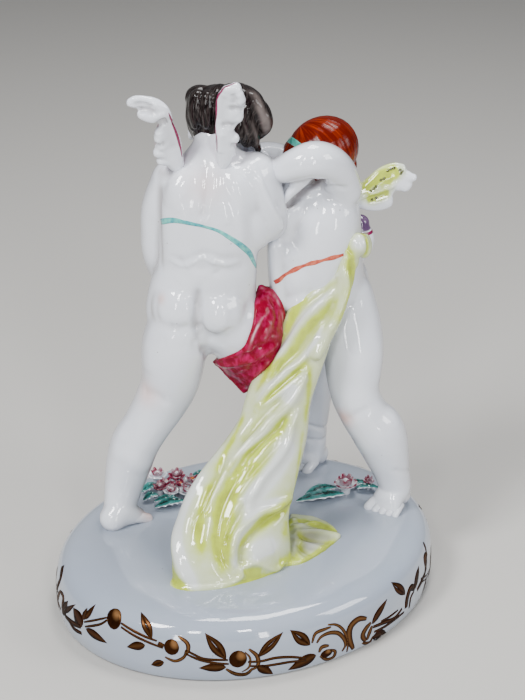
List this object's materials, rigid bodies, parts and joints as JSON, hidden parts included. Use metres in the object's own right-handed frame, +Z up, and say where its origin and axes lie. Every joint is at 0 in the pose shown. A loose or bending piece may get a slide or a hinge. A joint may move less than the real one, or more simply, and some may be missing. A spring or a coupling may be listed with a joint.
{
  "type": "glazed porcelain figurine",
  "caption": "Glazed porcelain group of winged cupids wrestling on an oval plinth, with a long cloth falling to the ground and garlands of flowers; an ornament that stands on a shelf.",
  "frame": {"origin": "middle of the plinth's underside", "axes": "+Z up; +X to the right and +Y away from the viewer of the picture, who sees the back of the dark-haired cupid; the plinth's long axis is turned 37 degrees from +X towards +Y"},
  "size_m": [0.1264, 0.1204, 0.1763],
  "materials": {
    "plinth_glaze": "white glaze with a painted gilt vine round the wall",
    "figure_glaze": "white glaze with painted enamels: dark and red hair, magenta and yellow cloths, a teal and a red line",
    "foliage_enamel": "teal green enamel over white glaze, petals edged with pink"
  },
  "bodies": {
    "root": {"plinth": "plinth_glaze", "cupid_group": "figure_glaze", "garland_left": "foliage_enamel", "garland_right": "foliage_enamel"}
  },
  "joints": []
}
